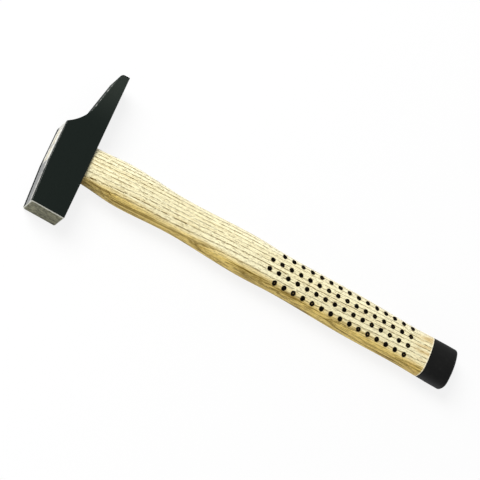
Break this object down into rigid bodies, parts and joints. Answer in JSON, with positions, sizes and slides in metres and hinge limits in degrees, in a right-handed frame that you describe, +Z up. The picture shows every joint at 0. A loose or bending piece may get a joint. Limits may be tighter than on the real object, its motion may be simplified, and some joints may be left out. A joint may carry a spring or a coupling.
{
  "type": "joiner's hammer",
  "caption": "Joiner's hammer lying on its side: forged cross-peen head, oval ash handle with rows of grip dots, wedged through the eye, black cap on the butt.",
  "frame": {"origin": "on the lower cheek of the head, straight below the middle of the eye; the hammer lies on z = 0", "axes": "+X from the head along the handle to the butt, +Y from the striking face to the peen, +Z up, square to the cheeks"},
  "size_m": [0.2869, 0.1018, 0.018],
  "materials": {
    "lacquered_steel": "black lacquer on forged steel, satin; striking face, peen edge and the top round the eye ground bare",
    "ash": "sanded ash with a thin clear coat, open grain, grip dots pressed in and scorched dark",
    "wedge_wood": "dark hardwood wedge, end grain ground flush",
    "wedge_steel": "plain steel, ground flush",
    "cap_plastic": "soft black plastic, fine matt texture"
  },
  "bodies": {
    "root": {"head": "lacquered_steel", "handle": "ash", "wood_wedge": "wedge_wood", "steel_wedge": "wedge_steel", "end_cap": "cap_plastic"}
  },
  "joints": []
}
